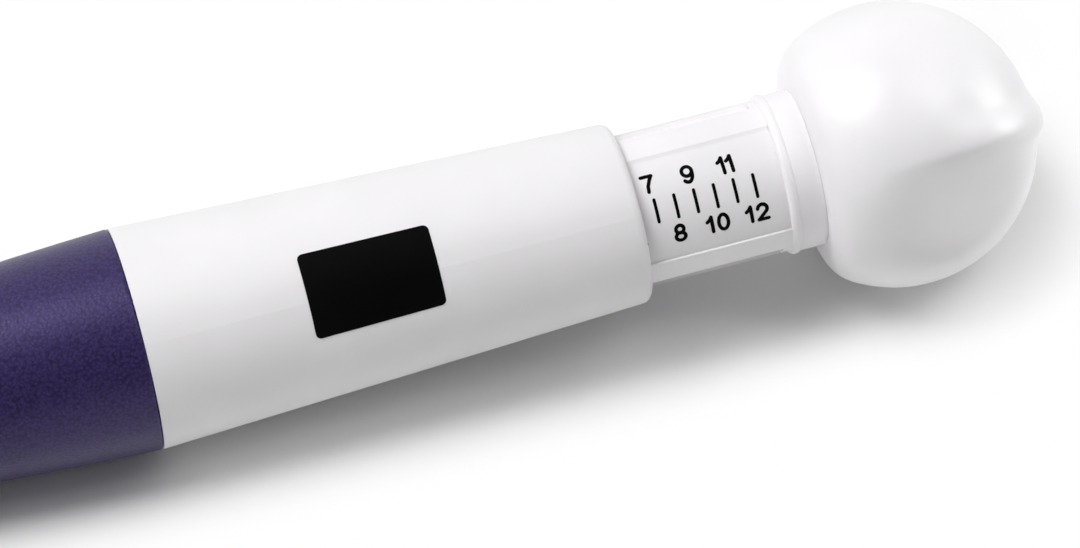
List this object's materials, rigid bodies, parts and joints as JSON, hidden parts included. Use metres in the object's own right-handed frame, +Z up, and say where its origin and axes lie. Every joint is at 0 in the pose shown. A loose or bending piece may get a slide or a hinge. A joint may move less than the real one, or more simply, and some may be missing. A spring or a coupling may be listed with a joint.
{
  "type": "adjustable punch needle",
  "caption": "Punch needle with a soft-grip tapered handle, a sliding scale shaft, a ball knob that twists to lock the loop depth, and a hollow bevelled needle.",
  "frame": {"origin": "on the ground, under the middle of the bounding box, with the tool lying at rest on its ball knob and the front edge of its barrel", "axes": "+X runs along the tool from the needle to the knob, level; +Z up. The tool axis rises 2.31 degrees towards the knob. The scale faces up and towards -Y."},
  "size_m": [0.1818, 0.0282, 0.0283],
  "materials": {
    "white_plastic": "satin moulded white",
    "nose_plastic": "satin moulded white",
    "shaft_plastic": "satin moulded white",
    "scale_strip": "satin white with black print",
    "collar_plastic": "satin moulded white",
    "knob_plastic": "satin moulded white",
    "soft_grip": "fine leathery grain, violet",
    "core_plastic": "plain moulded",
    "liner_plastic": "natural nylon",
    "carrier_plastic": "plain moulded",
    "lock_plastic": "natural nylon",
    "hub_plastic": "violet moulded",
    "washer_plastic": "plain",
    "nut_metal": "turned",
    "spindle_metal": "drawn tube",
    "needle_steel": "polished tube",
    "clip_steel": "spring steel",
    "spring_steel": "spring steel"
  },
  "bodies": {
    "handle": {"barrel_shell": "white_plastic", "rack_half_upper": "liner_plastic", "rack_half_lower": "liner_plastic", "grip_core": "core_plastic", "grip_sleeve": "soft_grip", "nose_cone": "nose_plastic"},
    "carriage": {"scale_tube": "shaft_plastic", "scale_plate": "scale_strip", "end_collar": "collar_plastic", "needle_carrier": "carrier_plastic", "collet_nut": "nut_metal", "needle_hub": "hub_plastic", "needle_tube": "needle_steel"},
    "knob": {"knob_ball": "knob_plastic", "lock_spindle": "spindle_metal", "lock_head": "lock_plastic", "retaining_clip": "clip_steel", "friction_washer": "washer_plastic", "spring_washer": "spring_steel"}
  },
  "joints": [
    {"name": "depth_slide", "type": "slide", "parent": "handle", "child": "carriage", "axis": [0.9992, 0, 0.0403], "range_m": [-0.01, 0.012]},
    {"name": "knob_twist", "type": "hinge", "parent": "carriage", "child": "knob", "pos_m": [0.0761, 0, 0.01415], "axis": [0.9992, 0, 0.0403], "range_deg": [0, 90]}
  ]
}
